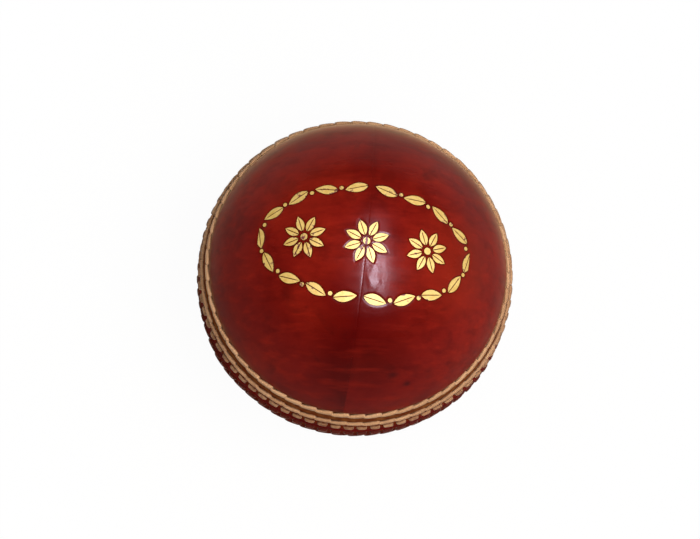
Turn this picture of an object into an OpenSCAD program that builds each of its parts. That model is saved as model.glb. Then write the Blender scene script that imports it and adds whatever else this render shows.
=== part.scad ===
// Cricket ball: four leather quarters, stitched round a core of cork and worsted yarn.
// The origin is the centre of the ball. The seam lies in the XY plane and +Z is the stamped side.

/* [Leather] */
// Diameter over the leather, clear of the stitching
ball_d = 72; // [68:0.5:76]
// Thickness of the leather
leather_t = 4; // [3.6:0.1:5]
// Rounding of the lip of each half where the two halves meet
lip_r = 0.5; // [0.2:0.1:0.8]
// Radius of the fine crease where two quarters butt together
crease_r = 0.22; // [0.1:0.02:0.4]

/* [Core] */
// Diameter of the cork ball in the middle
core_d = 26; // [20:1:30]
// Thickness of the inner and the middle winding of yarn
yarn_t = 4; // [3:0.5:5]
// Thickness of the cork slices
cork_t = 2.5; // [1.5:0.5:3.5]
// Slices in the inner layer of cork
inner_slices = 6; // [4:1:8]
// Slices in the outer layer of cork
outer_slices = 8; // [6:1:12]
// Width left open between slices at their widest
slice_gap = 0.6; // [0.2:0.1:1.2]
// Radius left open at each end of the slices, where their points meet
slice_tip_r = 1.5; // [1:0.1:3]

/* [Seam] */
// Diameter of the thread of the stitches
thread_d = 1.1; // [0.9:0.05:1.3]
// Diameter of the thread where it is pulled tight in its hole
pulled_d = 0.8; // [0.5:0.05:0.9]
// How deep a stitch sinks below the face of the leather
stitch_sink = 0.4; // [0.2:0.05:0.5]
// Width of the groove that the stitches press into the leather
groove_w = 2; // [1.8:0.1:2.3]
// Distance of the inner row from the joint of the halves, along the leather
inner_row = 2.8; // [2.6:0.1:3.2]
// Distance of the middle row from the joint
middle_row = 5.6; // [5.4:0.1:6.4]
// Distance of the outer row from the joint
outer_row = 9.5; // [8.6:0.1:12]
// Pairs of stitches in the inner row
inner_pairs = 37; // [30:1:39]
// Pairs of stitches in the middle row
middle_pairs = 30; // [24:1:34]
// Pairs of stitches in the outer row
outer_pairs = 29; // [24:1:34]
// Space between stitches of the inner row
inner_space = 0.7; // [0.3:0.1:1]
// Space between stitches of the middle and outer rows
outer_space = 0.15; // [0.1:0.05:0.5]
// How far a stitch climbs towards the pole from end to end
stitch_rise = 0.55; // [0:0.05:0.6]
// How deep the outer and middle stitches go into the leather
stitch_depth = 2.6; // [1.5:0.1:3]
// How deep below the leather the closing threads cross the joint
closing_depth = 2; // [1.6:0.1:2.6]

/* [Quarter joint] */
// Diameter of the hidden thread that joins two quarters
hidden_d = 0.8; // [0.5:0.05:1]
// Radius of each loop of the hidden thread
loop_r = 1.7; // [1.3:0.1:2]
// Distance from loop to loop, along the inside of the leather
loop_pitch = 4; // [3:0.1:6]
// Width of the lining strip over the joint
lining_w = 11; // [8:0.5:16]
// Thickness of the lining strip
lining_t = 0.7; // [0.4:0.1:1]
// How far the lining strip stops short of the joint of the halves
lining_short = 2; // [1:0.5:4]

/* [Fits] */
// Clearance between layers of the core, and between thread and hole
fit_gap = 0.05; // [0.02:0.01:0.1]
// Clearance between a stitch and the bottom of its groove
bed_gap = 0.1; // [0.08:0.01:0.15]

/* [Hidden] */

leather_colour = "#7a1b18";
thread_colour = "#c79f78";
cork_colour = "#b88a56";
yarn_colour = "#d9ceb8";
lining_colour = "#c9b394";

round_fn = 128;
thread_fn = 32;

ball_r = ball_d / 2;
inside_r = ball_r - leather_t;

// Outer radius of each layer of the core, from the middle outwards
core_r = core_d / 2;
winding_1_r = core_r + yarn_t;
cork_1_r = winding_1_r + cork_t;
winding_2_r = cork_1_r + yarn_t;
cork_2_r = winding_2_r + cork_t;
winding_3_r = inside_r - fit_gap;
lining_inside_r = winding_3_r - lining_t;

// A stitch's centre line, and the arc of the groove that it beds in
stitch_r = ball_r + thread_d / 2 - stitch_sink;
groove_depth = stitch_sink + bed_gap;
groove_r = (pow(groove_w / 2, 2) + pow(groove_depth, 2)) / (2 * groove_depth);
groove_centre_r = ball_r + groove_r - groove_depth;

// Each row is its latitude, its number of stitches and the space between them
inner = [latitude(inner_row), 2 * inner_pairs, inner_space];
middle = [latitude(middle_row), 2 * middle_pairs, outer_space];
outer = [latitude(outer_row), 2 * outer_pairs, outer_space];

function latitude(along) = along / ball_r * 180 / PI;
function degrees_along(length, row) = length / (stitch_r * cos(row[0])) * 180 / PI;
function straight_length(row) = 2 * PI * stitch_r * cos(row[0]) / row[1] - row[2] - thread_d;
function slant(row) = asin(stitch_rise / straight_length(row));
function hole_latitude(row) = row[0] - latitude(stitch_rise / 2);
// The first hole is half a step past the joint of the quarters, so no hole falls on that joint
function hole_azimuth(row, i) = 90 + (i + 0.5) * 360 / row[1];

// The closing thread leans from its stitch down to the joint of the halves
closing_r = ball_r - closing_depth;
closing_drop = closing_r * sin(hole_latitude(inner));
closing_run = stitch_r - closing_r * cos(hole_latitude(inner));
closing_lean = atan2(closing_drop, closing_run);
closing_length = norm([closing_drop, closing_run]);

// The hidden loops keep clear of the groove of the outer row
loop_span = 90 - outer[0] - latitude(groove_w / 2 + loop_r);
loop_step = loop_pitch / inside_r * 180 / PI;
loops_each_side = floor(loop_span / loop_step);

// The lower half is the upper one turned over, with its quarter joint a quarter turn round
module lower() {
    rotate([180, 0, 90]) children();
}

module opposite() {
    rotate([0, 0, 180]) children();
}

module shell(outer_r, inner_r) {
    difference() {
        sphere(r = outer_r, $fn = round_fn);
        sphere(r = inner_r + fit_gap, $fn = round_fn);
    }
}

module cork_slices(outer_r, inner_r, slices) {
    gap_angle = slice_gap / outer_r * 180 / PI;
    for (i = [0 : slices - 1]) {
        rotate([0, 0, i * 360 / slices])
            rotate_extrude(angle = 360 / slices - gap_angle, $fn = round_fn)
                difference() {
                    circle(r = outer_r, $fn = round_fn);
                    circle(r = inner_r + fit_gap, $fn = round_fn);
                    translate([-2 * outer_r + slice_tip_r, -outer_r])
                        square(2 * outer_r);
                }
    }
}

// Section through half of the cover: x is the distance from the pole's axis, y the height
module cover_section() {
    lip_x = sqrt(pow(ball_r - lip_r, 2) - pow(lip_r, 2));
    difference() {
        intersection() {
            circle(r = ball_r, $fn = round_fn);
            square(ball_r);
        }
        circle(r = inside_r, $fn = round_fn);
        for (row = [inner, middle, outer])
            rotate(row[0])
                translate([groove_centre_r, 0])
                    circle(r = groove_r, $fn = round_fn);
        difference() {
            translate([lip_x, 0])
                square([2 * lip_r, lip_r]);
            translate([lip_x, lip_r])
                circle(r = lip_r, $fn = thread_fn);
        }
    }
}

// A straight thread that goes into the leather at hole number i of a row
// It is turned about itself so that its own seam line keeps off the groove's line of symmetry
module leg(row, i, diameter, lean, length) {
    rotate([0, -hole_latitude(row), hole_azimuth(row, i)])
        translate([stitch_r, 0, 0])
            rotate([0, -90 - lean, 0])
                rotate([0, 0, 45])
                    cylinder(d = diameter, h = length, $fn = thread_fn);
}

module closing_leg(i, diameter) {
    leg(inner, i, diameter, closing_lean, closing_length + diameter);
}

module outer_leg(row, i, diameter, extra) {
    leg(row, i, diameter, 0, stitch_r - ball_r + stitch_depth + extra);
}

// A full ring of the hidden thread at one place along the quarter joint
module hidden_ring(i, diameter, angle) {
    rotate([i * loop_step, 0, 0])
        translate([0, 0, inside_r])
            rotate([90, 0, 0])
                rotate_extrude(angle = angle, $fn = round_fn)
                    translate([loop_r, 0])
                        circle(d = diameter, $fn = thread_fn);
}

// One quarter of the cover, on the -X side, with its holes punched
module quarter() {
    hole_d = pulled_d + 2 * fit_gap;
    color(leather_colour)
        difference() {
            rotate([0, 0, 90])
                rotate_extrude(angle = 180, $fn = round_fn)
                    cover_section();
            rotate([0, 90, 0])
                rotate_extrude($fn = round_fn)
                    translate([ball_r, 0])
                        circle(r = crease_r, $fn = thread_fn);
            for (i = [0 : inner_pairs - 1])
                closing_leg(i, hole_d);
            for (i = [0 : middle_pairs - 1])
                outer_leg(middle, i, hole_d, fit_gap);
            for (i = [0 : outer_pairs - 1])
                outer_leg(outer, i, hole_d, fit_gap);
            for (i = [-loops_each_side : loops_each_side])
                hidden_ring(i, hidden_d + 2 * fit_gap, 360);
        }
}

// The part of a stitch that shows: a round-ended length of thread, climbing towards the pole
module stitch_back(row, i) {
    length = straight_length(row);
    middle_azimuth = hole_azimuth(row, i) + degrees_along(length * cos(slant(row)) / 2, row);
    rotate([0, -row[0], middle_azimuth])
        translate([stitch_r, 0, 0])
            rotate([slant(row) - 90, 0, 0])
                rotate_extrude($fn = thread_fn)
                    intersection() {
                        union() {
                            translate([-thread_d / 2, -length / 2])
                                square([thread_d, length]);
                            for (end = [-1, 1])
                                translate([0, end * length / 2])
                                    circle(d = thread_d, $fn = thread_fn);
                        }
                        translate([0, -length])
                            square([thread_d, 2 * length]);
                    }
}

module machine_row(row) {
    color(thread_colour)
        for (i = [0 : row[1] - 1]) {
            union() {
                stitch_back(row, i);
                outer_leg(row, i, pulled_d, 0);
            }
        }
}

// The closing threads of the two halves meet face to face at the joint
module closing_row() {
    color(thread_colour)
        for (i = [0 : inner[1] - 1]) {
            difference() {
                union() {
                    stitch_back(inner, i);
                    closing_leg(i, pulled_d);
                }
                translate([-ball_d, -ball_d, -ball_d])
                    cube([2 * ball_d, 2 * ball_d, ball_d]);
            }
        }
}

module quarter_stitches() {
    color(thread_colour)
        for (i = [-loops_each_side : loops_each_side])
            hidden_ring(i, hidden_d, 180);
}

// A strip of the half's inside face, over the quarter joint
module lining_strip(outer_r, inner_r, side_gap) {
    intersection() {
        difference() {
            sphere(r = outer_r, $fn = round_fn);
            sphere(r = inner_r, $fn = round_fn);
        }
        translate([-lining_w / 2 - side_gap, -ball_r, lining_short - side_gap])
            cube([lining_w + 2 * side_gap, ball_d, ball_r]);
    }
}

module seam_lining() {
    color(lining_colour)
        lining_strip(winding_3_r, lining_inside_r, 0);
}

module cork_core() {
    color(cork_colour)
        sphere(r = core_r, $fn = round_fn);
}

module inner_winding() {
    color(yarn_colour)
        shell(winding_1_r, core_r);
}

module inner_cork_slices() {
    color(cork_colour)
        cork_slices(cork_1_r, winding_1_r, inner_slices);
}

module middle_winding() {
    color(yarn_colour)
        shell(winding_2_r, cork_1_r);
}

module outer_cork_slices() {
    color(cork_colour)
        cork_slices(cork_2_r, winding_2_r, outer_slices);
}

// The last winding fills the cover, and the lining strips press into it
module outer_winding() {
    color(yarn_colour)
        difference() {
            shell(winding_3_r, cork_2_r);
            lining_strip(ball_r, lining_inside_r - fit_gap, fit_gap);
            lower() lining_strip(ball_r, lining_inside_r - fit_gap, fit_gap);
        }
}

module upper_left_quarter() { quarter(); }
module upper_right_quarter() { opposite() quarter(); }
module lower_front_quarter() { lower() quarter(); }
module lower_back_quarter() { lower() opposite() quarter(); }
module upper_quarter_stitches() { quarter_stitches(); }
module lower_quarter_stitches() { lower() quarter_stitches(); }
module upper_seam_lining() { seam_lining(); }
module lower_seam_lining() { lower() seam_lining(); }
module upper_inner_row() { closing_row(); }
module upper_middle_row() { machine_row(middle); }
module upper_outer_row() { machine_row(outer); }
module lower_inner_row() { lower() closing_row(); }
module lower_middle_row() { lower() machine_row(middle); }
module lower_outer_row() { lower() machine_row(outer); }

cork_core();
inner_winding();
inner_cork_slices();
middle_winding();
outer_cork_slices();
outer_winding();
upper_left_quarter();
upper_right_quarter();
lower_front_quarter();
lower_back_quarter();
upper_quarter_stitches();
lower_quarter_stitches();
upper_seam_lining();
lower_seam_lining();
upper_inner_row();
upper_middle_row();
upper_outer_row();
lower_inner_row();
lower_middle_row();
lower_outer_row();
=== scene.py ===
import math
import random

import bmesh
import bpy
from mathutils import Matrix, Vector, noise
from mathutils.bvhtree import BVHTree


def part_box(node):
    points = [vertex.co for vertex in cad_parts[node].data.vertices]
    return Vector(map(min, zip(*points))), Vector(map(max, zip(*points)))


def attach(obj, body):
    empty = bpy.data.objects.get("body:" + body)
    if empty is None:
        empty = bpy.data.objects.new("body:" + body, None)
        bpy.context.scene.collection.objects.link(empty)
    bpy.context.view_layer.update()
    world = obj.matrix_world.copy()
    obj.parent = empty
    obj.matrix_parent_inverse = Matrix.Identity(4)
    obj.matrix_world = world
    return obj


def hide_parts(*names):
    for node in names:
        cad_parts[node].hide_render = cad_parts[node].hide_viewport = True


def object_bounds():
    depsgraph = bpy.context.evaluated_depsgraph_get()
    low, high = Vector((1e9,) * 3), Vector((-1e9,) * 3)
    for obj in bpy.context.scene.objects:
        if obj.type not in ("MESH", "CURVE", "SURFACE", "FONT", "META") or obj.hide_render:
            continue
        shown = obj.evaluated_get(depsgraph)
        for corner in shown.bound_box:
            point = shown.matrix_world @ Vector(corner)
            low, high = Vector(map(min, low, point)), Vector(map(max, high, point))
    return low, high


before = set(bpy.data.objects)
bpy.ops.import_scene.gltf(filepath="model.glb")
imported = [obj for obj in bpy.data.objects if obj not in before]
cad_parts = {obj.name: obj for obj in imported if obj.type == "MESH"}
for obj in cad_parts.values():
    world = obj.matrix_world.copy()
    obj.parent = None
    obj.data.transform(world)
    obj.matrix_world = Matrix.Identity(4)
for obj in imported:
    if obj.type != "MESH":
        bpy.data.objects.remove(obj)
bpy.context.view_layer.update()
scene = bpy.context.scene
scene.view_settings.view_transform = "Standard"
mm = 0.001  # meshes are drawn in millimetres and made metres when a piece is finished
print("frame loaded with", len(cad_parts), "CAD nodes")


# shared helpers

def linear(hexColour):
    # an sRGB hex colour as the linear numbers that a socket takes
    channels = [int(hexColour[i:i + 2], 16) / 255 for i in (1, 3, 5)]
    return [c / 12.92 if c <= 0.04045 else ((c + 0.055) / 1.055) ** 2.4 for c in channels] + [1.0]


def perMetre(size):
    # the scale of a pattern whose features are this many millimetres wide
    return 1 / (size * mm)


def feed(material, node, sockets):
    # sets each socket to a plain value, or links it to the socket that feeds it
    for key, value in sockets.items():
        if isinstance(value, bpy.types.NodeSocket):
            material.node_tree.links.new(value, node.inputs[key])
        else:
            node.inputs[key].default_value = value


def addNode(material, kind, inputs=None, stops=None, **settings):
    # stops are the places and colours of a ramp
    node = material.node_tree.nodes.new("ShaderNode" + kind)
    for key, value in settings.items():
        setattr(node, key, value)
    feed(material, node, inputs or {})
    if stops:
        ramp = node.color_ramp.elements
        while len(ramp) < len(stops):
            ramp.new(0.5)
        for element, (place, colour) in zip(ramp, stops):
            element.position = place
            element.color = linear(colour)
    return node


def newMaterial(name):
    # a material, its shader and the coordinates that its patterns lie on
    material = bpy.data.materials.new(name)
    material.use_nodes = True
    place = addNode(material, "TexCoord").outputs["Object"]
    return material, material.node_tree.nodes["Principled BSDF"], place


def smoothStep(low, high, value):
    t = min(1.0, max(0.0, (value - low) / (high - low)))
    return t * t * (3 - 2 * t)


def bell(distance, width):
    return math.exp(-(distance / width) ** 2)


def finishPiece(bm, name, materials, nodes, sharpAngle=None):
    # turns a bmesh in millimetres into a piece in metres that stands for the CAD nodes
    bmesh.ops.scale(bm, vec=(mm, mm, mm), verts=bm.verts)
    mesh = bpy.data.meshes.new(name)
    bm.to_mesh(mesh)
    bm.free()
    mesh.shade_smooth()
    if sharpAngle:
        mesh.set_sharp_from_angle(angle=math.radians(sharpAngle))
    for material in materials:
        mesh.materials.append(material)
    piece = bpy.data.objects.new(name, mesh)
    scene.collection.objects.link(piece)
    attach(piece, "root")
    if nodes:
        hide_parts(*nodes)
    print("made", name, "with", len(mesh.polygons), "faces")


# camera: nearly over the pole, turned and rolled as the photograph was taken

shot = {
    "azimuth": -11.0,  # degrees round the ball
    "elevation": 75.6,
    "roll": 17.4,
    "distance": 1100.0,  # mm
    "lens": 242.8,  # mm on a 36 mm sensor
    "imageWidth": 700,  # pixels
    "ballRight": 4.75,  # pixels from the middle of the image to the middle of the ball
    "ballDown": 8.8,
    "farEnd": 20.0,  # m that the camera sees
}


def cameraAxes():
    azimuth = math.radians(shot["azimuth"])
    elevation = math.radians(shot["elevation"])
    back = Vector((math.sin(azimuth) * math.cos(elevation),
                   -math.cos(azimuth) * math.cos(elevation),
                   math.sin(elevation)))
    level = Vector((math.cos(azimuth), math.sin(azimuth), 0))
    roll = Matrix.Rotation(math.radians(shot["roll"]), 3, back)
    right = roll @ level
    return right, back.cross(right), back


cameraRight, cameraUp, cameraBack = cameraAxes()


def axesMatrix(right, up, back, place):
    turn = Matrix((right, up, back)).transposed().to_4x4()
    return Matrix.Translation(place) @ turn


def makeCamera():
    lensData = bpy.data.cameras.new("camera")
    lensData.lens = shot["lens"]
    lensData.clip_end = shot["farEnd"]
    pixel = shot["distance"] * lensData.sensor_width / (shot["lens"] * shot["imageWidth"])
    place = (cameraBack * shot["distance"] - cameraRight * shot["ballRight"] * pixel
             + cameraUp * shot["ballDown"] * pixel) * mm
    camera = bpy.data.objects.new("camera", lensData)
    camera.matrix_world = axesMatrix(cameraRight, cameraUp, cameraBack, place)
    scene.collection.objects.link(camera)
    scene.camera = camera


makeCamera()
print("camera set")


# seam: three rows of stitches on each half, as in the CAD model, in mm

ballRadius = round(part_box("upper_left_quarter")[1].z, 4) / mm

seam = {
    "thread": 1.1,
    "sink": 0.4,  # below the face of the leather
    "climb": 0.55,  # towards the pole, from end to end of a stitch
    "rows": {  # distance from the joint of the halves, stitches, space between them
        "inner": (2.8, 74, 0.7),
        "middle": (5.6, 60, 0.15),
        "outer": (9.5, 58, 0.15),
    },
    "rowReach": 7.0,  # how far off a row still shapes the leather
    "grooveWidth": 1.7,
    "grooveDepth": 0.4,
    "grooveCurve": 1.2,  # above 1 it narrows towards its floor
    "pitDepth": 0.35,  # round each hole
    "pitRadius": 0.4,
    "pucker": 0.05,  # of the leather above the outer row
    "puckerCrest": (0.8, 0.9, 0.8),  # share, distance from the groove, width
    "puckerFade": 1.6,
    "ridge": 0.25,  # of the two edges that the sewing draws together
    "ridgeReach": (4.5, 8.0),  # from the joint of the halves, where it starts to fall and ends
    "bulges": (  # degrees round and up, height, degrees wide
        (-35, -6, 0.37, 15),
        (-142, -11, 0.35, 10),
        (51, 13, 0.25, 12),
    ),
    "grooveGrimeAndShade": (0.75, 0.9),  # share and width of grime and painted shade in the groove
    "pitGrimeAndShade": 0.8,  # width of grime and painted shade round each hole
    "dustAndHaze": (0.95, 0.08),  # dust and painted rim haze above the outer row, and there on the side with least of it
    "dustAndHazeWidth": 1.3,
    "lowHazeSide": -78.0,  # degrees round the ball, where the leather beside the seam has least dust and painted haze
    "lowHaze": (0.55, 0.95),  # where that side starts and is full
    "soiledAndShadedFrom": (-0.15, 0.12),  # grime and painted shade in the band between the rows: 0 is the middle row and 1 the outer
    "soiledAndShadedTo": (1.2, 0.95),
}

stitchRadius = ballRadius + seam["thread"] / 2 - seam["sink"]


class SeamRow:
    def __init__(self, along, count, space):
        self.latitude = along / ballRadius
        self.count = count
        self.step = 2 * math.pi / count
        self.ring = stitchRadius * math.cos(self.latitude)
        self.length = self.ring * self.step - space
        self.straight = self.length - seam["thread"]
        self.slant = math.asin(seam["climb"] / self.straight)
        self.holeLatitude = self.latitude - seam["climb"] / 2 / ballRadius

    def stitchAzimuth(self, i):
        hole = math.pi / 2 + (i + 0.5) * self.step
        return hole + self.straight * math.cos(self.slant) / 2 / self.ring


rows = {name: SeamRow(*values) for name, values in seam["rows"].items()}


def sewnRise(direction):
    # a sewn ball isn't quite round: it is ridged along the seam and fuller in a few places
    fromJoint = abs(math.asin(max(-1.0, min(1.0, direction.z)))) * ballRadius
    rise = seam["ridge"] * (1 - smoothStep(*seam["ridgeReach"], fromJoint))
    for azimuth, latitude, height, width in seam["bulges"]:
        out = Vector((math.cos(math.radians(latitude)), 0, math.sin(math.radians(latitude))))
        out.rotate(Matrix.Rotation(math.radians(azimuth), 3, "Z"))
        rise += height * bell(direction.angle(out), math.radians(width))
    return rise


# gold stamp: an oval border of leaves and beads round three rosettes, drawn flat in mm with +Y up

stamp = {
    "ovalWidth": 52.0,
    "ovalHeight": 26.5,
    "leaves": 18,
    "leafLength": 5.4,
    "leafWidth": 2.5,
    "leafTilt": 14.0,  # degrees, outwards and inwards by turns
    "leafBelly": (0.85, 0.8),  # below 1, widest past its middle and fuller
    "leafTip": 0.02,  # width left at its ends
    "vein": 0.22,
    "veinTaper": 0.25,  # share of the leaf over which the vein closes
    "beadRadius": 0.5,
    "beadInset": 0.35,  # share of the radius
    "jointKeptFree": 1.0,  # no bead lies this near the joint
    "rosettes": (-14.5, 0.0, 14.5),  # from the middle
    "petals": 8,
    "petalInner": 1.5,
    "petalOuter": 5.2,
    "petalWidth": 1.9,
    "eye": 0.55,  # share of the petals' inner radius
    "foil": 0.03,  # thickness
    "depth": 0.09,  # of the face that the die pressed
    "pressedEdge": (0.05, 0.45),  # from the foil, where the pressed face starts to rise and ends
    "pressReach": 3.0,
}


def addLeaf(bm, length, width, place):
    # a pointed leaf along +X from the origin, in halves beside its vein
    belly, fullness = stamp["leafBelly"]
    for side in (1, -1):
        grid = bmesh.ops.create_grid(bm, x_segments=8, y_segments=2, size=0.5)
        rubLayer = bm.verts.layers.float["rub"]
        for vert in grid["verts"]:
            t = vert.co.x + 0.5
            across = vert.co.y + 0.5
            swell = math.sin(math.pi * t ** belly) ** fullness if 0 < t < 1 else 0.0
            gap = stamp["vein"] / 2 * min(1.0, (1 - t) / stamp["veinTaper"])
            reach = max(gap + stamp["leafTip"], width / 2 * swell)
            vert.co = (length * t, side * (gap + (reach - gap) * across), 0)
            vert[rubLayer] = max(across ** 3, 1 - 2 * gap - across)
        if side < 0:
            bmesh.ops.reverse_faces(bm, faces=list({f for v in grid["verts"] for f in v.link_faces}))
        bmesh.ops.transform(bm, matrix=place, verts=grid["verts"])


def addDisc(bm, radius, place):
    rim = bmesh.ops.create_circle(bm, cap_ends=True, cap_tris=False, segments=14, radius=radius)["verts"]
    faces = list({f for v in rim for f in v.link_faces})
    inner = bmesh.ops.inset_region(bm, faces=faces, thickness=radius * stamp["beadInset"],
                                   use_even_offset=True)
    rubLayer = bm.verts.layers.float["rub"]
    for vert in rim:
        vert[rubLayer] = 1.0
    verts = {v for f in faces + inner["faces"] for v in f.verts}
    bmesh.ops.transform(bm, matrix=place, verts=list(verts))


def addRosette(bm, middle):
    for k in range(stamp["petals"]):
        turn = Matrix.Rotation(2 * math.pi * (k + 0.5) / stamp["petals"], 4, "Z")
        place = middle @ turn @ Matrix.Translation((stamp["petalInner"], 0, 0))
        addLeaf(bm, stamp["petalOuter"] - stamp["petalInner"], stamp["petalWidth"], place)
    addDisc(bm, stamp["petalInner"] * stamp["eye"], middle)


def ovalPoint(turn):
    # a place on the oval, and the heading along it
    a, b = stamp["ovalWidth"] / 2, stamp["ovalHeight"] / 2
    point = Vector((a * math.cos(turn), b * math.sin(turn), 0))
    heading = math.atan2(b * math.cos(turn), -a * math.sin(turn))
    return point, heading


def ovalTurns(count):
    # turns that lie an even distance apart along the oval
    fine = 3600
    turns = [2 * math.pi * i / fine for i in range(fine + 1)]
    lengths = [0.0]
    for first, second in zip(turns, turns[1:]):
        lengths.append(lengths[-1] + (ovalPoint(second)[0] - ovalPoint(first)[0]).length)
    wanted = [lengths[-1] * k / count for k in range(count)]
    found, i = [], 0
    for length in wanted:
        while lengths[i + 1] <= length:
            i += 1
        found.append(turns[i])
    return found


def drawStamp():
    bm = bmesh.new()
    bm.verts.layers.float.new("rub")
    turns = ovalTurns(stamp["leaves"] * 2)
    for k, turn in enumerate(turns):
        point, heading = ovalPoint(turn)
        if k % 2:
            if abs(point.x) > stamp["jointKeptFree"]:
                addDisc(bm, stamp["beadRadius"], Matrix.Translation(point))
            continue
        tilt = math.radians(stamp["leafTilt"]) * (1 if k % 4 else -1)
        place = (Matrix.Translation(point) @ Matrix.Rotation(heading + tilt, 4, "Z")
                 @ Matrix.Translation((-stamp["leafLength"] / 2, 0, 0)))
        addLeaf(bm, stamp["leafLength"], stamp["leafWidth"], place)
    for across in stamp["rosettes"]:
        addRosette(bm, Matrix.Translation((across, 0, 0)))
    return bm


def ontoBall(flat, radius):
    # wraps the flat drawing round the pole, keeping distances from it
    reach = flat.to_2d().length
    if reach < 1e-6:
        return Vector((0, 0, radius))
    angle = reach / ballRadius
    return Vector((flat.x / reach * math.sin(angle),
                   flat.y / reach * math.sin(angle),
                   math.cos(angle))) * radius


# leather: four quarters with grooves, pits, creases and a pressed stamp in the face, in mm

leather = {
    "thickness": 4.0,
    "lipRadius": 0.5,
    "lipSteps": 5,
    "lipFade": (0.2, 1.4),  # from the joint of the halves, where the relief starts and is full
    "seamZone": 20.0,  # degrees of latitude with the finest mesh
    "stampZone": 42.0,  # degrees down from the pole
    "seamSpacing": 0.16,
    "stampSpacing": 0.26,
    "plainSpacing": 0.55,
    "insideSteps": 12,
    "jointTurn": 3.0,  # degrees beside each joint with the finest mesh
    "jointSteps": 12,
    "roundSteps": 226,
    "jointWander": 5.0,  # length over which the crease of the joint varies
    "crease": 0.038,
    "creaseWidth": 0.18,
    "swell": 0.009,  # beside the crease
    "swellPlace": (1.0, 0.8),  # its distance from the crease and its width
    "wrinkles": 0.01,
    "wrinkleReach": 2.6,
    "waves": ((11.0, 0.06), (4.0, 0.012)),  # size and height of the unevenness
    "fold": (2.4, -7.9),  # middle of a slack place beside the upper joint
    "foldSize": (2.0, 5.2),
    "foldFade": (0.35, 1.0),  # share of its size where it starts to fall and ends
    "foldHeight": 0.045,
    "foldEdge": (1.7, 0.25),  # size and share of its raggedness
    "foldCrinkle": 0.035,
    "crinkleSize": 1.1,
    "paintedJointShading": (0.2, 1.0),  # painted shade along the crease of the upper joint: its depth and width
    "lowEnd": (-18.0, -26.0),  # where the lower end of that joint starts and is full
    "shadedEdge": (0.4, 4.0),  # more painted shade left of the lower end, with its width
    "paintedLitEdge": (-0.2, 2.5),  # less painted shade right of there: painted light
    "darkSide": (-0.32, -0.92, -0.23),  # where the painted shade is deepest: the lower side
    "darkSideFrom": (-8.0, 24.0, 0.5),  # where along that it starts and is full, share
    "darkPatch": (0.5, -26.0, 24.9, 2.0, 23.0, 0.92),  # painted shade in a large patch on the lower side: middle, where it starts to fade and ends, share
    "patchEdge": 4.0,  # how ragged the patches below are
    "patches": (  # middle, where it starts to fade and ends, share, colour
        # painted light on the side that faces the softbox
        (22.4, -0.7, 28.2, 5.0, 20.0, 0.3, "#a63420"),
        (-17.5, 11.4, 29.3, 5.0, 17.0, 0.24, "#a62c18"),
        # painted shade below the stamp, darker where the leather reflects little
        (-0.8, -16.2, 32.1, 4.0, 17.0, 0.6, "#560101"),
        (3.0, 21.4, 28.8, 5.0, 19.0, 0.24, "#4e0603"),
        (9.8, -26.9, 21.9, 2.0, 4.2, 0.7, "#2e0708"),
        (13.6, -27.8, 18.5, 2.0, 3.4, 0.7, "#2e0708"),
    ),
    "unpolished": (31.0, 19.0, 0.36),  # height over the seam where the gloss starts to go, is gone, share
    "skins": {  # IOR, roughness where polished and where dull, dust that lies on it
        "polishedLeather": (1.14, 0.19, 0.26, 0.8),
        "seamLeather": (1.08, 0.4, 0.5, 0.0),
    },
    "upper": ("upper_left_quarter", "upper_right_quarter"),
    "turns": {
        "upper_left_quarter": Matrix.Identity(4),
        "upper_right_quarter": Matrix.Rotation(math.pi, 4, "Z"),
        "lower_front_quarter": Matrix.Rotation(math.pi / 2, 4, "Z") @ Matrix.Rotation(math.pi, 4, "X"),
        "lower_back_quarter": Matrix.Rotation(-math.pi / 2, 4, "Z") @ Matrix.Rotation(math.pi, 4, "X"),
    },
}


def spinPoint(bm, point, centre, degrees, spacing=None, steps=None):
    # carries the last point of a section round an arc in the XZ plane
    radius = (point.co - Vector(centre)).length
    steps = steps or max(2, round(math.radians(abs(degrees)) * radius / spacing))
    arc = bmesh.ops.spin(bm, geom=[point], cent=centre, axis=(0, 1, 0), dvec=(0, 0, 0),
                         angle=math.radians(degrees), steps=steps, use_duplicate=False)
    return [g for g in arc["geom_last"] if isinstance(g, bmesh.types.BMVert)][0]


def coverSection(bm, polarSpacing):
    # from the outer pole down the face, round the lip and up the inside
    lip = leather["lipRadius"]
    lipCentre = Vector((math.sqrt((ballRadius - lip) ** 2 - lip ** 2), 0, lip))
    lipRise = math.degrees(math.asin(lip / (ballRadius - lip)))
    stampZone, seamZone = leather["stampZone"], leather["seamZone"]
    point = bm.verts.new((0, 0, ballRadius))
    point = spinPoint(bm, point, (0, 0, 0), stampZone, polarSpacing)
    point = spinPoint(bm, point, (0, 0, 0), 90 - stampZone - seamZone, leather["plainSpacing"])
    point = spinPoint(bm, point, (0, 0, 0), seamZone - lipRise, leather["seamSpacing"])
    point = spinPoint(bm, point, lipCentre, 90 + lipRise, steps=leather["lipSteps"])
    inside = bmesh.ops.extrude_vert_indiv(bm, verts=[point])["verts"][0]
    inside.co = (ballRadius - leather["thickness"], 0, 0)
    spinPoint(bm, inside, (0, 0, 0), -90, steps=leather["insideSteps"])


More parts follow.
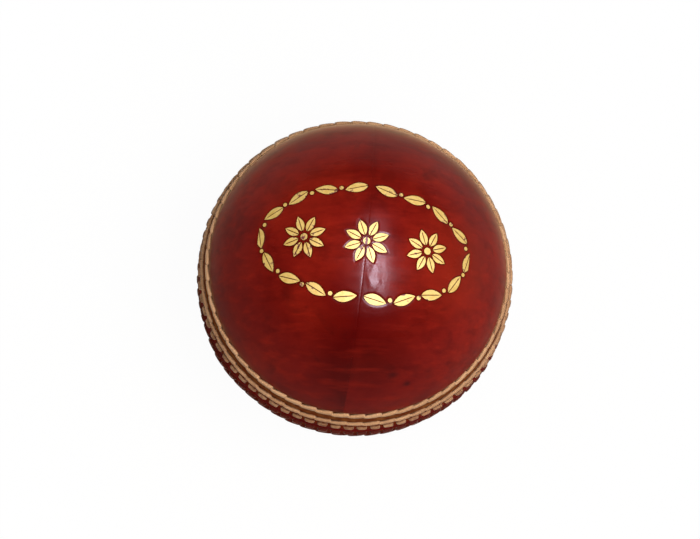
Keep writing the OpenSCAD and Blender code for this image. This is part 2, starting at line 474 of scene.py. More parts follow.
def plainQuarter(polarSpacing):
    # the section spun half a turn on the -X side, closed along the joint
    bm = bmesh.new()
    coverSection(bm, polarSpacing)
    bmesh.ops.rotate(bm, cent=(0, 0, 0), matrix=Matrix.Rotation(math.pi / 2, 3, "Z"), verts=bm.verts)
    jointTurn = leather["jointTurn"]
    geom = bm.verts[:] + bm.edges[:]
    for degrees, steps in ((jointTurn, leather["jointSteps"]),
                           (180 - 2 * jointTurn, leather["roundSteps"]),
                           (jointTurn, leather["jointSteps"])):
        geom = bmesh.ops.spin(bm, geom=geom, cent=(0, 0, 0), axis=(0, 0, 1), dvec=(0, 0, 0),
                              angle=math.radians(degrees), steps=steps, use_duplicate=False)["geom_last"]
    bmesh.ops.remove_doubles(bm, verts=bm.verts, dist=1e-4)
    rim = [e for e in bm.edges if e.is_boundary]
    bmesh.ops.triangle_fill(bm, use_beauty=True, edges=rim)
    bmesh.ops.recalc_face_normals(bm, faces=bm.faces)
    return bm


def seamShape(latitude, azimuth, heading):
    # how far the sewing moves the face, and how much grime, painted shade and painted rim haze it holds
    # there
    # azimuth is counted on the quarter itself, heading on the whole ball
    rise, grimeShadeAndHaze = 0.0, 0.0
    half = seam["grooveWidth"] / 2
    grooveShare, grooveSpread = seam["grooveGrimeAndShade"]
    crest, crestPlace, crestWidth = seam["puckerCrest"]
    mostDustAndHaze, leastDustAndHaze = seam["dustAndHaze"]
    for name, row in rows.items():
        along = (latitude - row.latitude) * ballRadius
        if abs(along) > seam["rowReach"]:
            continue
        if abs(along) < half:
            rise -= seam["grooveDepth"] * (1 - (along / half) ** 2) ** seam["grooveCurve"]
        turns = (azimuth - math.pi / 2) / row.step - 0.5
        offset = (turns - round(turns)) * row.step * ballRadius * math.cos(latitude)
        fromHole = math.hypot(offset, (latitude - row.holeLatitude) * ballRadius)
        rise -= seam["pitDepth"] * bell(fromHole, seam["pitRadius"])
        grimeShadeAndHaze = max(grimeShadeAndHaze, grooveShare * bell(along, grooveSpread), bell(fromHole, seam["pitGrimeAndShade"]))
        if name == "outer" and along > half:
            tug = 0.5 + 0.5 * math.cos(2 * math.pi * turns)
            past = along - half
            pulled = tug * math.exp(-past / seam["puckerFade"])
            rise += seam["pucker"] * (crest * bell(past - crestPlace, crestWidth) - pulled)
            lowHaze = 0.5 + 0.5 * math.cos(heading - math.radians(seam["lowHazeSide"]))
            dustAndHaze = mostDustAndHaze - (mostDustAndHaze - leastDustAndHaze) * smoothStep(*seam["lowHaze"], lowHaze)
            grimeShadeAndHaze = max(grimeShadeAndHaze, dustAndHaze * (0.8 + 0.2 * tug) * bell(past, seam["dustAndHazeWidth"]))
    between = (latitude - rows["middle"].latitude) / (rows["outer"].latitude - rows["middle"].latitude)
    soiledAndShaded = smoothStep(*seam["soiledAndShadedFrom"], between) * smoothStep(*seam["soiledAndShadedTo"], between)
    return rise, max(grimeShadeAndHaze, soiledAndShaded)


def faceWaves(place):
    # slow unevenness of the stretched hide, the same for the leather and the foil on it
    return sum(height * noise.noise(place / size) for size, height in leather["waves"])


def jointShape(place, turn):
    # the butt joint pulls down a fine crease with fuller leather beside it
    out = abs(place.x)
    swellPlace, swellWidth = leather["swellPlace"]
    wander = noise.noise(turn @ place / leather["jointWander"])
    crease = leather["crease"] * (0.75 + 0.5 * wander)
    swell = leather["swell"] * (0.6 + 0.8 * wander)
    folds = noise.noise(Vector((out * 0.5, place.y * 1.1, 3.7))) * bell(out, leather["wrinkleReach"])
    return (swell * bell(out - swellPlace, swellWidth) - crease * bell(out, leather["creaseWidth"])
            + leather["wrinkles"] * folds)


def foldShape(place):
    # a slack place where the hide stands off a little and crinkles
    across = (place.x - leather["fold"][0]) / leather["foldSize"][0]
    along = (place.y - leather["fold"][1]) / leather["foldSize"][1]
    raggedSize, raggedShare = leather["foldEdge"]
    ragged = raggedShare * noise.noise(place / raggedSize)
    share = 1 - smoothStep(*leather["foldFade"], math.hypot(across, along) + ragged)
    crinkle = leather["foldCrinkle"] * noise.noise(place / leather["crinkleSize"])
    return share * (leather["foldHeight"] + crinkle)


def paintedJointShading(place):
    # painted shade along the crease of the upper joint, on the left of its lower end most of all, and
    # painted light right of that end
    low = smoothStep(*leather["lowEnd"], place.y)
    depth, width = leather["shadedEdge"] if place.x < 0 else leather["paintedLitEdge"]
    jointDepth, jointWidth = leather["paintedJointShading"]
    return jointDepth * bell(place.x, jointWidth) + low * depth * bell(place.x, width)


def makeQuarter(name, skins, foilTree):
    upper = name in leather["upper"]
    turn = leather["turns"][name]
    bm = plainQuarter(leather["stampSpacing"] if upper else leather["plainSpacing"])
    grimeShadeAndHazeLayer, pressLayer, jointShadingLayer = [bm.verts.layers.float.new(n) for n in ("grimeShadeAndHaze", "press", "jointShading")]
    for vert in bm.verts:
        if vert.co.length < ballRadius - leather["thickness"] / 4:
            continue  # only the face is shaped
        direction = vert.co.normalized()
        latitude = math.asin(min(1.0, direction.z))
        place = turn @ vert.co
        azimuth = math.atan2(direction.y, direction.x)
        rise, grimeShadeAndHaze = seamShape(latitude, azimuth, math.atan2(place.y, place.x))
        rise += faceWaves(place) + jointShape(vert.co, turn)
        if upper and latitude > math.radians(90 - leather["stampZone"]):
            rise += foldShape(place)
            near = foilTree.find_nearest(place, stamp["pressReach"])
            if near[0]:
                gap = math.sqrt(max(0.0, near[3] ** 2 - stamp["depth"] ** 2))
                vert[pressLayer] = 1 - smoothStep(*stamp["pressedEdge"], gap)
                rise -= stamp["depth"] * vert[pressLayer]
        vert[grimeShadeAndHazeLayer] = grimeShadeAndHaze
        vert[jointShadingLayer] = paintedJointShading(place) if upper else 0.0
        rise *= smoothStep(*leather["lipFade"], latitude * ballRadius)
        vert.co += direction * (rise + sewnRise(place.normalized()))
    seamTop = math.sin(rows["outer"].latitude)
    for face in bm.faces:
        face.material_index = 1 if face.calc_center_median().normalized().z < seamTop else 0
    bmesh.ops.transform(bm, matrix=turn, verts=bm.verts)
    finishPiece(bm, name.replace("_", "-") + "-leather", skins, [name], sharpAngle=50)


def makeFoil(bm, material):
    # the drawing wrapped onto the pressed face, with a skin's thickness
    base = ballRadius - stamp["depth"]
    for vert in bm.verts:
        vert.co = ontoBall(vert.co, base)
        vert.co += vert.co.normalized() * faceWaves(vert.co)
    tree = BVHTree.FromBMesh(bm)
    skin = bmesh.ops.extrude_face_region(bm, geom=bm.faces[:])
    for vert in skin["geom"]:
        if isinstance(vert, bmesh.types.BMVert):
            vert.co += vert.co.normalized() * stamp["foil"]
    bmesh.ops.recalc_face_normals(bm, faces=bm.faces)
    finishPiece(bm, "gold-stamp", [material], [], sharpAngle=40)
    return tree


# stitches: plump slugs of thread, each tucked under the end of the one before, in mm

stitch = {
    "sides": 8,
    "rings": 8,
    "crowding": 0.5,  # below 1 draws the rings towards the ends
    "bluntness": 8,  # of the ends
    "slack": 0.03,  # thinner than the CAD thread
    "flatten": 0.93,  # height against width
    "startDip": 0.2,  # of the end that comes out of its hole
    "endDip": 0.08,
    "lap": {"inner": 0.0, "middle": 0.9, "outer": 0.9},  # past the next hole
    "fuller": {"inner": 0.03, "middle": 0.08, "outer": 0.11},  # at the end nearer the pole
    "lean": {"inner": 0.3, "middle": 0.5, "outer": 0.8},  # share of the slant that is kept
    "drop": {"inner": 0.06, "middle": 0.02, "outer": 0.0},  # pulled in towards the joint
    "soil": {"inner": 0.5, "middle": 0.25, "outer": 0.03},
    "dirtyAndShadedSide": -90.0,  # degrees round the lower half, where caked polish and painted shade lie
    "dirtAndShade": (-0.65, 0.45),  # where the caked polish and painted shade start and are full, as a cosine from that side
    "jitterTilt": 1.2,  # degrees
    "jitterHeight": 0.02,
    "jitterLength": 0.04,
    "jitterSoil": 0.08,
    "jitterDirtAndShade": 0.03,
    "seed": 11,
}


def slugMesh(row, lap, fuller):
    # a ball drawn out along Y round the seam, even below and fuller above towards its far end
    bm = bmesh.new()
    bmesh.ops.create_uvsphere(bm, u_segments=stitch["sides"], v_segments=stitch["rings"], radius=1.0)
    lay = bm.verts.layers.float_vector.new("lay")
    thick = seam["thread"] / 2 - stitch["slack"]
    for vert in bm.verts:
        share = 1 - 2 * math.acos(max(-1.0, min(1.0, vert.co.z))) / math.pi
        share = math.copysign(abs(share) ** stitch["crowding"], share)
        ring = vert.co.to_2d()
        ring = ring.normalized() if ring.length > 1e-6 else ring
        girth = (thick + fuller * share) * max(0.0, 1 - abs(share) ** stitch["bluntness"]) ** 0.5
        along = share * (row.length + lap) / 2
        dip = (stitch["startDip"] * max(0.0, -share) ** 3 + stitch["endDip"] * max(0.0, share) ** 4
               + along ** 2 / (2 * row.ring))
        vert.co = (ring.x * girth * stitch["flatten"] - dip, along, ring.y * girth + fuller * share)
        vert[lay] = (ring.x, along, ring.y)
    bm.normal_update()  # the points have moved, so the old normals would mislead the next line
    bmesh.ops.recalc_face_normals(bm, faces=bm.faces)
    mesh = bpy.data.meshes.new("slug")
    bm.to_mesh(mesh)
    bm.free()
    return mesh


def makeRow(half, rowName, material, turn):
    row = rows[rowName]
    rng = random.Random(stitch["seed"] + row.count + len(half))
    slug = slugMesh(row, stitch["lap"][rowName], stitch["fuller"][rowName])
    dirtyAndShadedSide = Matrix.Rotation(math.radians(stitch["dirtyAndShadedSide"]), 3, "Z") @ Vector((1, 0, 0))
    bm = bmesh.new()
    toneLayer, soilLayer, cakedAndShadedLayer = [bm.verts.layers.float.new(n) for n in ("tone", "soil", "cakedAndShaded")]
    for i in range(row.count):
        first = len(bm.verts)
        bm.from_mesh(slug)
        bm.verts.ensure_lookup_table()
        fresh = bm.verts[first:]
        tilt = row.slant * stitch["lean"][rowName] + math.radians(rng.gauss(0, stitch["jitterTilt"]))
        height = stitchRadius - stitch["drop"][rowName] + rng.uniform(-1, 1) * stitch["jitterHeight"]
        longer = 1 + rng.uniform(-1, 1) * stitch["jitterLength"]
        aim = turn @ Matrix.Rotation(row.stitchAzimuth(i), 4, "Z") @ Matrix.Rotation(-row.latitude, 4, "Y")
        height += sewnRise(aim @ Vector((1, 0, 0)))
        place = (aim @ Matrix.Translation((height, 0, 0)) @ Matrix.Rotation(tilt, 4, "X")
                 @ Matrix.Diagonal((1, longer, 1, 1)))
        bmesh.ops.transform(bm, matrix=place, verts=fresh)
        tone = rng.random()
        soil = stitch["soil"][rowName] + rng.gauss(0, stitch["jitterSoil"])
        facing = place.translation.normalized().dot(dirtyAndShadedSide) + rng.gauss(0, stitch["jitterDirtAndShade"])
        cakedAndShaded = smoothStep(*stitch["dirtAndShade"], facing) if half == "lower" else 0.0
        for vert in fresh:
            vert[toneLayer] = tone
            vert[soilLayer] = min(1.0, max(0.0, soil))
            vert[cakedAndShadedLayer] = cakedAndShaded
    bpy.data.meshes.remove(slug)
    node = half + "_" + rowName + "_row"
    finishPiece(bm, half + "-" + rowName + "-stitches", [material], [node])


# materials

def dyedLeather(name, ior, gloss, dull, dustAndHaze):
    # dyed cowhide: a deep uneven red with painted shade on its lower side, with rubbed streaks and a tight
    # grain
    material, shader, place = newMaterial(name)
    clouds = addNode(material, "TexNoise", {
        "Vector": place, "Scale": perMetre(16), "Detail": 5.0, "Roughness": 0.6})
    tones = addNode(material, "ValToRGB", {"Fac": clouds.outputs["Fac"]}, stops=[
        (0.3, "#650f0a"), (0.5, "#7f160e"), (0.7, "#942012")])

    # painted shade towards the lower side, in a large patch there and along the upper joint, with painted
    # light right of that joint's lower end
    start, end, share = leather["darkSideFrom"]
    across = addNode(material, "VectorMath", {0: place, 1: leather["darkSide"]},
                     operation="DOT_PRODUCT")
    lowerSideShade = addNode(material, "MapRange", {
        "Value": across.outputs["Value"], "From Min": start * mm, "From Max": end * mm,
        "To Max": share}, interpolation_type="SMOOTHSTEP")
    *middle, near, far, share = leather["darkPatch"]
    fromPatch = addNode(material, "VectorMath", {0: place, 1: [c * mm for c in middle]},
                        operation="DISTANCE")
    patch = addNode(material, "MapRange", {
        "Value": fromPatch.outputs["Value"], "From Min": near * mm, "From Max": far * mm,
        "To Min": share, "To Max": 0.0}, interpolation_type="SMOOTHSTEP")
    paintedShadeDepth = addNode(material, "Math", {
        0: lowerSideShade.outputs["Result"], 1: patch.outputs["Result"]}, operation="MAXIMUM")
    jointShading = addNode(material, "Attribute", attribute_name="jointShading")
    depth = addNode(material, "Math", {
        0: paintedShadeDepth.outputs["Value"], 1: jointShading.outputs["Fac"]}, operation="ADD", use_clamp=True)
    toned = addNode(material, "Mix", {
        0: depth.outputs["Value"], 6: tones.outputs["Color"], 7: linear("#4e0603")},
        data_type="RGBA").outputs[2]

    # rubbed streaks, brushed blotches and spots of polish
    rubbed = addNode(material, "Mapping", {
        "Vector": place, "Rotation": (0, 0, 0.1), "Scale": (1, 0.125, 0.25)}, vector_type="TEXTURE")
    brushed = addNode(material, "Mapping", {
        "Vector": place, "Rotation": (0, 0, 0.06), "Location": (0.02, 0.05, 0.01),
        "Scale": (1, 0.3, 0.4)}, vector_type="TEXTURE")
    coats = {  # where the pattern lies, mm, how it is drawn, where it starts and is full, share, colour
        "streaks": (rubbed.outputs["Vector"], 13, {"Detail": 4.0}, 0.5, 0.8, 0.36, "#a52412"),
        "blotches": (brushed.outputs["Vector"], 11, {"Detail": 6.0, "Roughness": 0.62},
                     0.48, 0.72, 0.55, "#4c0402"),
        "spots": (place, 8, {"Detail": 3.0, "Distortion": 0.6}, 0.58, 0.8, 0.7, "#3c0705"),
    }
    patterns = {}
    for coat, (where, size, drawn, start, end, share, colour) in coats.items():
        pattern = addNode(material, "TexNoise", {
            "Vector": where, "Scale": perMetre(size), **drawn}).outputs["Fac"]
        coatShare = addNode(material, "MapRange", {
            "Value": pattern, "From Min": start, "From Max": end, "To Max": share})
        toned = addNode(material, "Mix", {
            0: coatShare.outputs["Result"], 6: toned, 7: linear(colour)}, data_type="RGBA").outputs[2]
        patterns[coat] = pattern
    # patches from the list, among them painted light on one side and painted shade below the stamp
    for *middle, near, far, share, colour in leather["patches"]:
        fromMiddle = addNode(material, "VectorMath", {0: place, 1: [c * mm for c in middle]},
                             operation="DISTANCE")
        ragged = addNode(material, "Math", {
            0: patterns["spots"], 1: leather["patchEdge"] * mm, 2: fromMiddle.outputs["Value"]},
            operation="MULTIPLY_ADD")
        patchShare = addNode(material, "MapRange", {
            "Value": ragged.outputs["Value"], "From Min": near * mm, "From Max": far * mm,
            "To Min": share, "To Max": 0.0}, interpolation_type="SMOOTHSTEP")
        toned = addNode(material, "Mix", {
            0: patchShare.outputs["Result"], 6: toned, 7: linear(colour)}, data_type="RGBA").outputs[2]

    # painted shade on the face the die pressed, and grime with painted shade and painted rim haze along the
    # sewing
    press = addNode(material, "Attribute", attribute_name="press")
    pressShade = addNode(material, "Math", {0: press.outputs["Fac"], 1: 0.8}, operation="MULTIPLY")
    pressed = addNode(material, "Mix", {
        0: pressShade.outputs["Value"], 6: toned, 7: linear("#3a0f04")}, data_type="RGBA")
    grimeShadeAndHaze = addNode(material, "Attribute", attribute_name="grimeShadeAndHaze")
    smears = addNode(material, "TexNoise", {
        "Vector": place, "Scale": perMetre(2.2), "Detail": 4.0, "Roughness": 0.6})
    patchy = addNode(material, "MapRange", {
        "Value": smears.outputs["Fac"], "From Min": 0.35, "From Max": 0.6, "To Min": 0.62})
    grimeShadeAndHazeShare = addNode(material, "Math", {
        0: grimeShadeAndHaze.outputs["Fac"], 1: patchy.outputs["Result"]}, operation="MULTIPLY")
    soilShadeAndHazeTones = addNode(material, "ValToRGB", {"Fac": smears.outputs["Fac"]}, stops=[
        (0.35, "#69381a"), (0.7, "#8a5128")])
    grimedShadedAndHazy = addNode(material, "Mix", {
        0: grimeShadeAndHazeShare.outputs["Value"], 6: pressed.outputs[2], 7: soilShadeAndHazeTones.outputs["Color"]},
        data_type="RGBA")

    # grain, and a polish that is rubbed away towards the seam
    grain = addNode(material, "TexVoronoi", {"Vector": place, "Scale": perMetre(0.7)},
                    feature="SMOOTH_F1")
    pores = addNode(material, "TexNoise", {"Vector": place, "Scale": perMetre(0.45), "Detail": 2.0})
    relief = addNode(material, "Math", {
        0: grain.outputs["Distance"], 1: pores.outputs["Fac"]}, operation="ADD")
    bump = addNode(material, "Bump", {
        "Height": relief.outputs["Value"], "Strength": 0.15, "Distance": 0.05 * mm})
    polish = addNode(material, "MapRange", {
        "Value": patterns["streaks"], "From Min": 0.3, "From Max": 0.7, "To Min": gloss, "To Max": dull})
    start, end, share = leather["unpolished"]
    axes = addNode(material, "SeparateXYZ", {"Vector": place})
    fromSeam = addNode(material, "Math", {0: axes.outputs["Z"]}, operation="ABSOLUTE")
    unpolished = addNode(material, "MapRange", {
        "Value": fromSeam.outputs["Value"], "From Min": start * mm, "From Max": end * mm,
        "To Max": share})
    rough = addNode(material, "Math", {
        0: polish.outputs["Result"], 1: unpolished.outputs["Result"]}, operation="ADD")
    feed(material, shader, {
        "Base Color": grimedShadedAndHazy.outputs[2], "Roughness": rough.outputs["Value"], "IOR": ior,
        "Normal": bump.outputs["Normal"], "Sheen Weight": dustAndHaze, "Sheen Roughness": 0.24,
        "Sheen Tint": linear("#ffd9a4")})
    return material


def waxedThread():
    # waxed linen thread: cream, twisted from plies, with soil and painted shade where it dips and on its
    # crown, with a soft nap
    material, shader, place = newMaterial("waxedLinenThread")
    tone, soil, cakedAndShaded, lay = [addNode(material, "Attribute", attribute_name=n)
                              for n in ("tone", "soil", "cakedAndShaded", "lay")]
    local = addNode(material, "SeparateXYZ", {"Vector": lay.outputs["Vector"]})
    clean = addNode(material, "ValToRGB", {"Fac": tone.outputs["Fac"]}, stops=[
        (0.0, "#c69a72"), (1.0, "#d6ac84")])
    fluff = addNode(material, "TexNoise", {"Vector": place, "Scale": perMetre(0.8), "Detail": 4.0})

    # soil and painted shade in the hollows and on the crown, and caked polish with painted shade over all
    # of it on the lower rows
    low = addNode(material, "MapRange", {
        "Value": local.outputs["X"], "From Min": 0.25, "From Max": -0.5, "To Max": 0.5})
    crown = addNode(material, "MapRange", {
        "Value": local.outputs["X"], "From Min": 0.45, "From Max": 1.0, "To Max": 0.3})
    lowSoilAndShade = addNode(material, "Math", {
        0: low.outputs["Result"], 1: soil.outputs["Fac"]}, operation="ADD")
    allSoilAndShade = addNode(material, "Math", {
        0: lowSoilAndShade.outputs["Value"], 1: crown.outputs["Result"]}, operation="ADD")
    patchy = addNode(material, "Math", {
        0: allSoilAndShade.outputs["Value"], 1: fluff.outputs["Fac"]}, operation="MULTIPLY")
    soiledAndShaded = addNode(material, "Math", {0: patchy.outputs["Value"], 1: 1.6},
                     operation="MULTIPLY", use_clamp=True)
    dirtAndShade = addNode(material, "Mix", {
        0: cakedAndShaded.outputs["Fac"], 6: linear("#6e3a22"), 7: linear("#5c2015")}, data_type="RGBA")
    share = addNode(material, "Math", {
        0: soiledAndShaded.outputs["Value"], 1: cakedAndShaded.outputs["Fac"]}, operation="MAXIMUM")
    stainedAndShaded = addNode(material, "Mix", {
        0: share.outputs["Value"], 6: clean.outputs["Color"], 7: dirtAndShade.outputs[2]}, data_type="RGBA")

    # plies that wind round the thread, 0.55 mm apart
    around = addNode(material, "Math", {
        0: local.outputs["Z"], 1: local.outputs["X"]}, operation="ARCTAN2")
    along = addNode(material, "Math", {
        0: local.outputs["Y"], 1: 2 * math.pi / 0.55, 2: around.outputs["Value"]},
        operation="MULTIPLY_ADD")
    ply = addNode(material, "Math", {0: along.outputs["Value"]}, operation="SINE")
    strands = addNode(material, "Math", {
        0: ply.outputs["Value"], 1: 0.5, 2: fluff.outputs["Fac"]}, operation="MULTIPLY_ADD")
    bump = addNode(material, "Bump", {
        "Height": strands.outputs["Value"], "Strength": 0.5, "Distance": 0.1 * mm})
    rough = addNode(material, "MapRange", {
        "Value": fluff.outputs["Fac"], "From Min": 0.3, "From Max": 0.7, "To Min": 0.55, "To Max": 0.75})
    feed(material, shader, {
        "Base Color": stainedAndShaded.outputs[2], "Roughness": rough.outputs["Result"], "IOR": 1.12,
        "Normal": bump.outputs["Normal"], "Sheen Weight": 0.6, "Sheen Roughness": 0.35,
        "Sheen Tint": linear("#fff3e4")})
    return material


def stampingFoil():
    # gold stamping foil pressed into leather grain: satin metal, worn through in flecks and along the joint
    material, shader, place = newMaterial("goldStampingFoil")
    rub = addNode(material, "Attribute", attribute_name="rub")
    flecks = addNode(material, "TexNoise", {
        "Vector": place, "Scale": perMetre(1.3), "Detail": 5.0, "Roughness": 0.65})
    patches = addNode(material, "TexNoise", {"Vector": place, "Scale": perMetre(9), "Detail": 2.0})
    wear = addNode(material, "Math", {
        0: patches.outputs["Fac"], 1: 0.8, 2: flecks.outputs["Fac"]}, operation="MULTIPLY_ADD")
    edged = addNode(material, "Math", {
        0: rub.outputs["Fac"], 1: 0.09, 2: wear.outputs["Value"]}, operation="MULTIPLY_ADD")
    axes = addNode(material, "SeparateXYZ", {"Vector": place})
    fromJoint = addNode(material, "Math", {0: axes.outputs["X"]}, operation="ABSOLUTE")
    crack = addNode(material, "MapRange", {
        "Value": fromJoint.outputs["Value"], "From Max": 0.4 * mm, "To Min": 0.35, "To Max": 0.0})
    worn = addNode(material, "Math", {
        0: edged.outputs["Value"], 1: crack.outputs["Result"]}, operation="ADD")
    bare = addNode(material, "MapRange", {
        "Value": worn.outputs["Value"], "From Min": 1.07, "From Max": 1.15})
    gold = addNode(material, "ValToRGB", {"Fac": flecks.outputs["Fac"]}, stops=[
        (0.3, "#d3ad4c"), (0.65, "#e7ca74")])
    colour = addNode(material, "Mix", {
        0: bare.outputs["Result"], 6: gold.outputs["Color"], 7: linear("#6b120d")}, data_type="RGBA")
    metal = addNode(material, "MapRange", {
        "Value": bare.outputs["Result"], "To Min": 0.2, "To Max": 0.0})
    grain = addNode(material, "TexNoise", {"Vector": place, "Scale": perMetre(0.5), "Detail": 2.0})
    bump = addNode(material, "Bump", {
        "Height": grain.outputs["Fac"], "Strength": 0.25, "Distance": 0.05 * mm})
    rough = addNode(material, "MapRange", {
        "Value": flecks.outputs["Fac"], "To Min": 0.52, "To Max": 0.66})
    feed(material, shader, {
        "Base Color": colour.outputs[2], "Metallic": metal.outputs["Result"],
        "Roughness": rough.outputs["Result"], "Normal": bump.outputs["Normal"]})
    return material


def mattFace(material, shader, colour, relief, strength, depth, mottle, smooth, rough):
    # colour, relief of this depth in mm and uneven roughness, for the pieces inside the cover
    bump = addNode(material, "Bump", {"Height": relief, "Strength": strength, "Distance": depth * mm})
    roughness = addNode(material, "MapRange", {"Value": mottle, "To Min": smooth, "To Max": rough})
    feed(material, shader, {
        "Base Color": colour.outputs["Color"], "Roughness": roughness.outputs["Result"],
        "Normal": bump.outputs["Normal"]})
    return material


def naturalCork():
    # cork cut from bark: warm brown cells with dark pores, quite matt
    material, shader, place = newMaterial("naturalCork")
    cells = addNode(material, "TexVoronoi", {"Vector": place, "Scale": perMetre(1.6)})
    pores = addNode(material, "TexNoise", {
        "Vector": place, "Scale": perMetre(2.5), "Detail": 5.0}).outputs["Fac"]
    blend = addNode(material, "Math", {0: cells.outputs["Distance"], 1: pores},
                    operation="MULTIPLY").outputs["Value"]
    colour = addNode(material, "ValToRGB", {"Fac": blend}, stops=[
        (0.05, "#6d4526"), (0.2, "#b58550"), (0.5, "#c79a63")])
    return mattFace(material, shader, colour, blend, 0.5, 0.2, pores, 0.75, 0.95)


def worstedYarn():
    # worsted yarn wound tight in many directions: pale wool with fine crossing strands
    material, shader, place = newMaterial("woundWorstedYarn")
    patches = addNode(material, "TexNoise", {
        "Vector": place, "Scale": perMetre(12), "Detail": 1.0}).outputs["Fac"]
    turned = addNode(material, "VectorRotate", {"Vector": place, "Angle": patches},
                     rotation_type="AXIS_ANGLE")
    strands = addNode(material, "TexWave", {
        "Vector": turned.outputs["Vector"], "Scale": perMetre(1.2) / 3, "Distortion": 1.5,
        "Detail": 2.0}).outputs["Fac"]
    colour = addNode(material, "ValToRGB", {"Fac": strands}, stops=[(0.1, "#a8977a"), (0.6, "#ddd2bc")])
    return mattFace(material, shader, colour, strands, 0.7, 0.3, patches, 0.8, 0.95)


def liningLeather():
    # thin undyed split leather: pale buff with a napped face
    material, shader, place = newMaterial("undyedSplitLeather")
    nap = addNode(material, "TexNoise", {
        "Vector": place, "Scale": perMetre(0.6), "Detail": 6.0}).outputs["Fac"]
    stains = addNode(material, "TexNoise", {"Vector": place, "Scale": perMetre(7), "Detail": 3.0})
    colour = addNode(material, "ValToRGB", {"Fac": stains.outputs["Fac"]}, stops=[
        (0.3, "#b79c78"), (0.7, "#d2bc9c")])
    return mattFace(material, shader, colour, nap, 0.4, 0.1, nap, 0.7, 0.9)


def hiddenThread():
    # the same linen thread where it stays clean inside the cover
    material, shader, place = newMaterial("cleanLinenThread")
    twist = addNode(material, "TexWave", {
        "Vector": place, "Scale": perMetre(0.8) / 3, "Distortion": 2.0}).outputs["Fac"]
    colour = addNode(material, "ValToRGB", {"Fac": twist}, stops=[(0.0, "#c8a47d"), (1.0, "#dfc39e")])
    return mattFace(material, shader, colour, twist, 0.5, 0.1, twist, 0.6, 0.75)


leatherSkins = [dyedLeather(name, *values) for name, values in leather["skins"].items()]
thread = waxedThread()
foil = stampingFoil()
carried = (
    (naturalCork(), ("cork_core", "inner_cork_slices", "outer_cork_slices")),
    (worstedYarn(), ("inner_winding", "middle_winding", "outer_winding")),
    (liningLeather(), ("upper_seam_lining", "lower_seam_lining")),
    (hiddenThread(), ("upper_quarter_stitches", "lower_quarter_stitches")),
)
for material, nodeNames in carried:
    for nodeName in nodeNames:
        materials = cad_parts[nodeName].data.materials
        materials.clear()
        materials.append(material)
print("materials made")


# the pieces

foilTree = makeFoil(drawStamp(), foil)
for quarterName in leather["turns"]:
    makeQuarter(quarterName, leatherSkins, foilTree)
halves = {"upper": leather["turns"]["upper_left_quarter"], "lower": leather["turns"]["lower_front_quarter"]}
for half, halfTurn in halves.items():
    for rowName in rows:
        makeRow(half, rowName, thread, halfTurn)


# studio: a white floor that sweeps up into a low rim, two lamps that only show in reflections
# and a softbox that only shades, in m

studio = {
    "floorRadius": 3.0,
    "floorSides": 96,
    "rim": ((0.25, 0.03), (0.2, 0.12), (0.1, 0.5)),  # steps outwards and upwards
    "shadowKept": 0.04,  # share of the real shading near the ball
    "shadowReach": (0.045, 0.11),  # from its middle, where that starts to fade and ends
    "contactKept": 0.6,  # right under the ball
    "contactReach": (0.004, 0.03),
    "surround": 0.2,  # brightness of the room
    "lamps": {  # degrees right and up of the camera's line, distance, width, height, watts, colour
        "window": (17, 14, 1.0, 0.32, 1.3, 16.5, "#f1ecff"),
        "strobe": (15, 5.5, 1.0, 0.15, 0.42, 28.0, "#f1ecff"),
        "softbox": (15, -1, 1.2, 0.9, 0.9, 15.4, "#fff6ec"),
    },
    "shading": ("softbox",),  # the others show in reflections
}


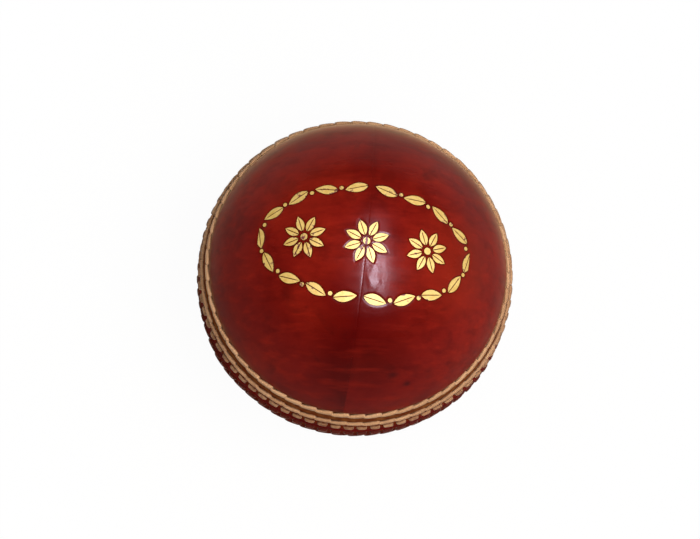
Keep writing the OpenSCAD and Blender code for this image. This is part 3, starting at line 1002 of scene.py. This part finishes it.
def whiteFloor():
    # matt paper sweep, shown as white to the eye and in reflections, with part of its shading kept
    material, shader, place = newMaterial("whitePaperSweep")
    rays = addNode(material, "LightPath")
    eyeOrGloss = addNode(material, "Math", {
        0: rays.outputs["Is Camera Ray"], 1: rays.outputs["Is Glossy Ray"]}, operation="ADD")
    seen = addNode(material, "Math", {
        0: eyeOrGloss.outputs["Value"], 1: rays.outputs["Is Transmission Ray"]},
        operation="ADD", use_clamp=True)
    paper = addNode(material, "Mix", {
        0: seen.outputs["Value"], 6: linear("#b0b0b0"), 7: linear("#f9f9f9")}, data_type="RGBA")
    feed(material, shader, {"Base Color": paper.outputs[2], "Roughness": 0.9})
    glow = addNode(material, "Emission", {"Color": (1, 1, 1, 1), "Strength": 1.0})
    reach = addNode(material, "VectorMath", {0: place}, operation="LENGTH")
    share = seen.outputs["Value"]
    for kept, (near, far) in ((studio["shadowKept"], studio["shadowReach"]),
                              (studio["contactKept"], studio["contactReach"])):
        white = addNode(material, "MapRange", {
            "Value": reach.outputs["Value"], "From Min": near, "From Max": far, "To Min": 1 - kept})
        share = addNode(material, "Math", {0: share, 1: white.outputs["Result"]},
                        operation="MULTIPLY").outputs["Value"]
    both = addNode(material, "MixShader", {
        0: share, 1: shader.outputs["BSDF"], 2: glow.outputs["Emission"]})
    feed(material, material.node_tree.nodes["Material Output"], {"Surface": both.outputs["Shader"]})
    return material


def makeFloor():
    bm = bmesh.new()
    disc = bmesh.ops.create_circle(bm, cap_ends=True, cap_tris=False, segments=studio["floorSides"],
                                   radius=studio["floorRadius"])
    rim = list({e for v in disc["verts"] for e in v.link_edges})
    for outward, upward in studio["rim"]:
        raised = bmesh.ops.extrude_edge_only(bm, edges=rim)["geom"]
        for vert in [g for g in raised if isinstance(g, bmesh.types.BMVert)]:
            vert.co += Vector((vert.co.x, vert.co.y, 0)).normalized() * outward + Vector((0, 0, upward))
        rim = [g for g in raised if isinstance(g, bmesh.types.BMEdge) and g.is_boundary]
    mesh = bpy.data.meshes.new("floor")
    bm.to_mesh(mesh)
    bm.free()
    mesh.materials.append(whiteFloor())
    floor = bpy.data.objects.new("floor", mesh)
    floor.location.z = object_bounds()[0].z
    scene.collection.objects.link(floor)


def makeLamps():
    for name, (toRight, toTop, distance, width, height, watts, colour) in studio["lamps"].items():
        toward = (cameraBack + cameraRight * math.tan(math.radians(toRight))
                  + cameraUp * math.tan(math.radians(toTop))).normalized()
        across = cameraUp.cross(toward).normalized()
        lamp = bpy.data.lights.new(name, "AREA")
        lamp.shape = "RECTANGLE"
        lamp.size = width
        lamp.size_y = height
        lamp.energy = watts
        lamp.color = linear(colour)[:3]
        holder = bpy.data.objects.new(name, lamp)
        holder.matrix_world = axesMatrix(across, toward.cross(across), toward, toward * distance)
        holder.visible_camera = False
        holder.visible_diffuse = name in studio["shading"]
        holder.visible_glossy = name not in studio["shading"]
        scene.collection.objects.link(holder)


def makeWorld():
    world = bpy.data.worlds.new("room")
    world.use_nodes = True
    background = world.node_tree.nodes["Background"]
    background.inputs["Color"].default_value = (1, 1, 1, 1)
    background.inputs["Strength"].default_value = studio["surround"]
    scene.world = world


makeFloor()
makeLamps()
makeWorld()
print("studio made")
